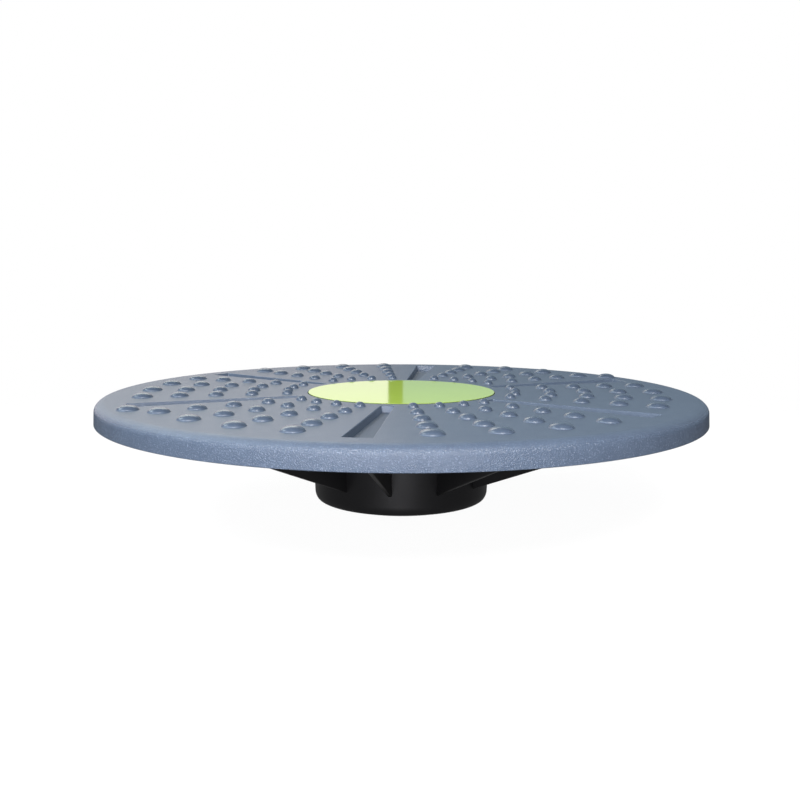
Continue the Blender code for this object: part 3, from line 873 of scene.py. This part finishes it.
class Surface:
    """A Principled material with a few node shortcuts."""

    def __init__(self, name):
        self.material = bpy.data.materials.new(name)
        self.material.use_nodes = True
        self.tree = self.material.node_tree
        self.shader = self.tree.nodes["Principled BSDF"]
        self.place = self.node("ShaderNodeTexCoord").outputs["Object"]

    def node(self, kind, **inputs):
        """A new node; an input's name has _ for each space."""
        made = self.tree.nodes.new(kind)
        for name, value in inputs.items():
            self.feed(made, name.replace("_", " "), value)
        return made

    def feed(self, node, key, value):
        """Link a socket to a node's input, or set the input to a value."""
        if isinstance(value, bpy.types.NodeSocket):
            self.tree.links.new(value, node.inputs[key])
        else:
            node.inputs[key].default_value = value

    def set(self, **inputs):
        for name, value in inputs.items():
            self.feed(self.shader, name.replace("_", " "), value)

    def noise(self, size, detail=2.0, roughness=0.5):
        """Noise whose features are about size across, in metres."""
        inputs = {"Vector": self.place, "Scale": 1 / size, "Detail": detail, "Roughness": roughness}
        return self.node("ShaderNodeTexNoise", **inputs).outputs["Fac"]

    def ramp(self, value, low, high, to_low=0.0, to_high=1.0):
        """A value mapped from low..high to to_low..to_high, and held there at both ends."""
        inputs = {"From_Min": low, "From_Max": high, "To_Min": to_low, "To_Max": to_high}
        return self.node("ShaderNodeMapRange", Value=value, **inputs).outputs["Result"]

    def math(self, operation, first, second):
        made = self.tree.nodes.new("ShaderNodeMath")
        made.operation = operation
        self.feed(made, 0, first)
        self.feed(made, 1, second)
        return made.outputs[0]

    def times(self, first, second):
        return self.math("MULTIPLY", first, second)

    def plus(self, first, second):
        return self.math("ADD", first, second)

    def minus(self, first, second):
        return self.math("SUBTRACT", first, second)

    def mix(self, share, first, second):
        """A colour between two colours."""
        made = self.tree.nodes.new("ShaderNodeMix")
        made.data_type = "RGBA"
        self.feed(made, "Factor", share)
        for index, colour in ((6, first), (7, second)):
            if isinstance(colour, tuple):
                colour = (*colour, 1.0)
            self.feed(made, index, colour)
        return made.outputs[2]

    def bump(self, height, depth):
        """A relief of a height from 0 to 1, depth deep in metres."""
        return self.node("ShaderNodeBump", Height=height, Strength=1.0, Distance=depth).outputs["Normal"]

    def height(self):
        """Height above the floor."""
        return self.node("ShaderNodeSeparateXYZ", Vector=self.place).outputs["Z"]

    def reach(self):
        """Straight distance from the point on the floor under the board's middle."""
        made = self.node("ShaderNodeVectorMath", Vector=self.place)
        made.operation = "LENGTH"
        return made.outputs["Value"]


def deck_material():
    """Grey-blue moulded plastic with a sparkling grain on rim and skirt and a weaker one on top; light
    flecks in the grain are painted glints.
    Bumps and slot edges are smoother, and slot floors are duller; slot floors and bumps are darkened with
    painted shade."""
    look = Surface("deck_plastic_look")
    height = look.height()
    reach = look.reach()
    floor_z = DECK_TOP_Z - SLOT_DEPTH

    # Shares from 0 to 1 that tell the places on the deck apart
    rim = look.ramp(height, DECK_TOP_Z - 0.2 * MM, DECK_TOP_Z - SHOULDER_DROP * 0.6)
    rim = look.times(rim, look.ramp(reach, SLOT_OUTER_RADIUS + 4 * MM, SLOT_OUTER_RADIUS + 6 * MM))
    inside = look.ramp(reach, SLOT_OUTER_RADIUS, SLOT_OUTER_RADIUS + 2 * MM, 1.0, 0.0)
    dome = look.ramp(height, DECK_TOP_Z + 0.3 * MM, DECK_TOP_Z + 0.9 * MM)
    floor = look.ramp(height, floor_z + 0.1 * MM, floor_z + 0.5 * MM, 1.0, 0.0)
    floor = look.times(floor, inside)
    lip = look.ramp(height, DECK_TOP_Z - 0.02 * MM, DECK_TOP_Z - 0.06 * MM)
    lip = look.times(lip, look.ramp(height, DECK_TOP_Z - SLOT_LIP, DECK_TOP_Z - 0.8 * SLOT_LIP))
    lip = look.times(lip, inside)

    grain = look.noise(DECK_GRAIN_SIZE, roughness=0.7)
    relief = look.ramp(grain, 0.28, 0.72)
    amount = look.ramp(rim, 0.0, 1.0, DECK_TOP_GRAIN, 1.0)
    amount = look.times(amount, look.ramp(dome, 0.0, 1.0, 1.0, DECK_BUMP_GRAIN))

    mottle = look.noise(DECK_MOTTLE_SIZE, detail=4.0, roughness=0.6)
    colour = look.mix(look.ramp(mottle, 0.3, 0.7), DECK_DARK, DECK_LIGHT)
    # Painted shade: slot floors and bumps are darkened towards a shade colour
    painted_shade = look.plus(look.times(floor, 0.7), look.times(dome, 0.72))
    colour = look.mix(painted_shade, colour, DECK_PAINTED_SHADE)
    # Painted glints: light flecks where the grain is high, more on the rim
    painted_glints = look.ramp(rim, 0.0, 1.0, DECK_TOP_PAINTED_GLINTS, DECK_RIM_PAINTED_GLINTS)
    colour = look.mix(look.times(look.ramp(grain, 0.55, 0.70), painted_glints), colour, DECK_PAINTED_GLINT)

    rough = look.ramp(dome, 0.0, 1.0, DECK_TOP_ROUGHNESS, DECK_BUMP_ROUGHNESS)
    rough = look.minus(rough, look.times(rim, DECK_RIM_GLOSS))
    rough = look.plus(rough, look.times(floor, DECK_FLOOR_DULLNESS))
    rough = look.minus(rough, look.times(lip, DECK_LIP_GLOSS))
    look.set(Base_Color=colour, Roughness=rough, IOR=1.48)
    look.set(Normal=look.bump(look.times(relief, amount), DECK_GRAIN_DEPTH))
    return look.material


def disc_material():
    """Glossy lime plastic with the faint waviness of a moulded face, duller on its edge and darkened there
    with painted shade of the gap round it.
    """
    look = Surface("disc_plastic_look")
    colour = look.mix(look.noise(DISC_TINT_SIZE, detail=3.0), LIME_DARK, LIME_LIGHT)
    # The edge share makes the edge duller and darkens it with painted shade
    edge = look.ramp(look.height(), DISC_TOP_Z - 0.15 * MM, DISC_TOP_Z - 0.005 * MM, 0.95, 0.0)
    scuff = look.noise(DISC_SCUFF_SIZE, detail=5.0, roughness=0.7)
    rough = look.plus(look.ramp(scuff, 0.35, 0.75, 0.065, 0.10), look.times(edge, DISC_EDGE_DULLNESS))
    look.set(Base_Color=look.mix(edge, colour, LIME_PAINTED_SHADE), Roughness=rough, IOR=1.5)
    look.set(Normal=look.bump(look.noise(DISC_WAVE_SIZE), DISC_WAVE_DEPTH))
    return look.material


def base_material():
    """Black satin plastic with a fine moulded grain."""
    look = Surface("base_plastic_look")
    cloud = look.noise(BASE_CLOUD_SIZE, detail=4.0, roughness=0.6)
    colour = look.mix(cloud, BLACK_DARK, BLACK_LIGHT)
    look.set(Base_Color=colour, Roughness=look.ramp(cloud, 0.3, 0.7, 0.35, 0.41), IOR=1.38)
    look.set(Normal=look.bump(look.noise(BASE_GRAIN_SIZE), BASE_GRAIN_DEPTH))
    return look.material


def rubber_material():
    """Matte rubber with a fine dimpled skin."""
    look = Surface("sole_rubber_look")
    cells = look.node("ShaderNodeTexVoronoi", Vector=look.place, Scale=1 / SOLE_DIMPLE_SIZE)
    dust = look.noise(SOLE_DUST_SIZE, detail=5.0, roughness=0.65)
    colour = look.mix(look.ramp(dust, 0.4, 0.75), RUBBER_DARK, RUBBER_LIGHT)
    look.set(Base_Color=colour, Roughness=look.ramp(dust, 0.3, 0.7, 0.78, 0.92))
    look.set(Normal=look.bump(cells.outputs["Distance"], SOLE_DIMPLE_DEPTH))
    return look.material


def steel_material():
    """Zinc-plated steel with slightly uneven brightness."""
    look = Surface("screw_steel_look")
    stain = look.noise(STEEL_STAIN_SIZE, detail=4.0, roughness=0.6)
    colour = look.mix(stain, STEEL_DARK, STEEL_LIGHT)
    look.set(Base_Color=colour, Metallic=1.0, Roughness=look.ramp(stain, 0.3, 0.7, 0.24, 0.4))
    look.set(Normal=look.bump(stain, STEEL_STAIN_DEPTH))
    return look.material


# Stage

CAMERA_DISTANCE = 618 * MM           # from the middle of the deck's top
CAMERA_ELEVATION = radians(7.2)
CAMERA_LENS = 40.62                  # millimetres
CAMERA_SENSOR = 36.0                 # width in millimetres
CAMERA_TARGET = Vector((-0.9 * MM, 0, DECK_TOP_Z - 6.0 * MM))
CAMERA_ROLL = radians(0.14)

PANEL_ENERGY = 4                     # a light's energy for unit radiance over a square metre

# The two panels behind the board, which leave a gap between them
BACK_PANEL_Y = 1.1
BACK_PANEL_WIDTH = 1.4
BACK_PANEL_HEIGHT = 0.6
BACK_PANEL_LOW = 0.002
BACK_GAP = (-0.025, 0.003)           # x of its left and right side

SURROUND_COLOUR = (0.80, 0.88, 1.0, 1.0)
SURROUND_STRENGTH = 0.02
WHITE = (1.0, 1.0, 1.0, 1.0)

FLOOR_RADIUS = 1.6
FLOOR_Z = -0.02 * MM
FLOOR_DARK = (0.50, 0.50, 0.50)
FLOOR_LIGHT = (0.53, 0.53, 0.53)
FLOOR_GLOW = 0.8
FLOOR_COVER = 0.2                    # opacity under the board
FLOOR_FADE = (0.15, 0.7)             # radii where the opacity starts to fall and reaches nothing


def aim(thing, target):
    thing.rotation_euler = (Vector(target) - thing.location).to_track_quat("-Z", "Y").to_euler()


def make_camera():
    data = bpy.data.cameras.new("camera")
    data.lens = CAMERA_LENS
    data.sensor_width = CAMERA_SENSOR
    camera = bpy.data.objects.new("camera", data)
    bpy.context.scene.collection.objects.link(camera)
    back = Vector((0, -cos(CAMERA_ELEVATION), sin(CAMERA_ELEVATION)))
    camera.location = up(DECK_TOP_Z) + back * CAMERA_DISTANCE
    aim(camera, CAMERA_TARGET)
    camera.rotation_euler.rotate_axis("Z", CAMERA_ROLL)
    bpy.context.scene.camera = camera


def add_panel(name, centre, size, radiance, colour, target=(0, 0, DECK_TOP_Z)):
    """A soft panel light that reflections see and the camera doesn't."""
    data = bpy.data.lights.new(name, "AREA")
    data.shape = "RECTANGLE"
    data.size, data.size_y = size
    data.energy = radiance * PANEL_ENERGY * size[0] * size[1]
    data.color = colour
    light = bpy.data.objects.new(name, data)
    bpy.context.scene.collection.objects.link(light)
    light.location = centre
    aim(light, target)
    light.visible_camera = False


def add_back_panel(name, x, radiance, colour):
    """An upright panel behind the board, which faces straight forward."""
    centre = Vector((x, BACK_PANEL_Y, BACK_PANEL_LOW + BACK_PANEL_HEIGHT / 2))
    size = (BACK_PANEL_WIDTH, BACK_PANEL_HEIGHT)
    add_panel(name, centre, size, radiance, colour, target=centre + Vector((0, -1, 0)))


def make_lights():
    """Panels round the board. The disc mirrors the dark gap between the two behind it."""
    add_back_panel("back_left", BACK_GAP[0] - BACK_PANEL_WIDTH / 2, 0.83, (1.0, 0.91, 0.94))
    add_back_panel("back_right", BACK_GAP[1] + BACK_PANEL_WIDTH / 2, 0.36, (0.62, 0.8, 1.0))
    add_panel("front_low", (-0.1, -1.4, 0.12), (0.7, 0.3), 14.93, (0.95, 0.94, 1.0))
    add_panel("front_high", (0.12, -1.1, 0.9), (0.4, 0.3), 38.10, (1.0, 0.98, 0.97))
    add_panel("front_left_high", (-0.9, -0.9, 1.0), (0.3, 0.3), 27.50, (0.9, 0.95, 1.0))
    add_panel("left_high", (-1.2, 0.2, 1.2), (0.7, 0.6), 5.30, (0.83, 0.96, 1.0))
    wide = (1.4, 0.4)
    add_panel("back_left_up", (-0.75, 1.1, 0.85), wide, 2.15, (0.97, 1.0, 0.87), target=(-0.75, 0, 0.4))
    add_panel("back_right_up", (0.7, 1.1, 0.85), wide, 0.47, (0.77, 1.0, 0.99), target=(0.7, 0, 0.4))
    add_panel("front_mid", (-0.2, -1.4, 0.5), (0.5, 0.3), 10.30, (1.0, 0.97, 0.99))
    add_panel("back_high", (-0.4, 1.3, 1.2), (1.2, 0.3), 1.50, (1.0, 0.98, 0.95))


def make_world():
    """White where the camera looks past the floor, and a very dim surround for everything else."""
    world = bpy.data.worlds.new("surround")
    bpy.context.scene.world = world
    world.use_nodes = True
    tree = world.node_tree
    dim = tree.nodes["Background"]
    dim.inputs["Color"].default_value = SURROUND_COLOUR
    dim.inputs["Strength"].default_value = SURROUND_STRENGTH
    white = tree.nodes.new("ShaderNodeBackground")
    white.inputs["Color"].default_value = WHITE
    path = tree.nodes.new("ShaderNodeLightPath")
    mix = tree.nodes.new("ShaderNodeMixShader")
    tree.links.new(path.outputs["Is Camera Ray"], mix.inputs["Fac"])
    tree.links.new(dim.outputs[0], mix.inputs[1])
    tree.links.new(white.outputs[0], mix.inputs[2])
    tree.links.new(mix.outputs[0], tree.nodes["World Output"].inputs["Surface"])


def make_floor():
    """A pale floor that fades out into the white surround, and is clear from below."""
    mesh = bmesh.new()
    mesh.faces.new(ring(mesh, FLOOR_RADIUS, FLOOR_Z, FLOOR_SEGMENTS))
    floor = new_piece("floor", mesh)
    floor.data.flip_normals()        # the front of the face is its upper side
    look = Surface("floor_look")
    look.set(Base_Color=look.mix(look.noise(3 * MM, detail=4.0), FLOOR_DARK, FLOOR_LIGHT), Roughness=0.9)
    fade = look.ramp(look.reach(), *FLOOR_FADE, FLOOR_COVER, 0.0)
    above = look.minus(1.0, look.node("ShaderNodeNewGeometry").outputs["Backfacing"])
    look.set(Alpha=look.times(fade, above), Emission_Color=WHITE, Emission_Strength=FLOOR_GLOW)
    floor.data.materials.append(look.material)


make_deck(deck_material())
make_centre_disc(disc_material())
make_base(base_material())
make_sole(rubber_material())
steel = steel_material()
deck_seat_z = FLANGE_BOTTOM_Z - GAP
make_screws("deck_screw", steel, bay_angles(), DECK_SCREW_RING, deck_seat_z, DECK_SCREW_LENGTH, True)
hub_seat_z = COUNTERBORE_Z + GAP
make_screws("hub_screw", steel, hub_screw_angles(), HUB_SCREW_RING, hub_seat_z, HUB_SCREW_LENGTH, False)
make_camera()
make_lights()
make_world()
make_floor()
bpy.context.scene.view_settings.view_transform = "Standard"
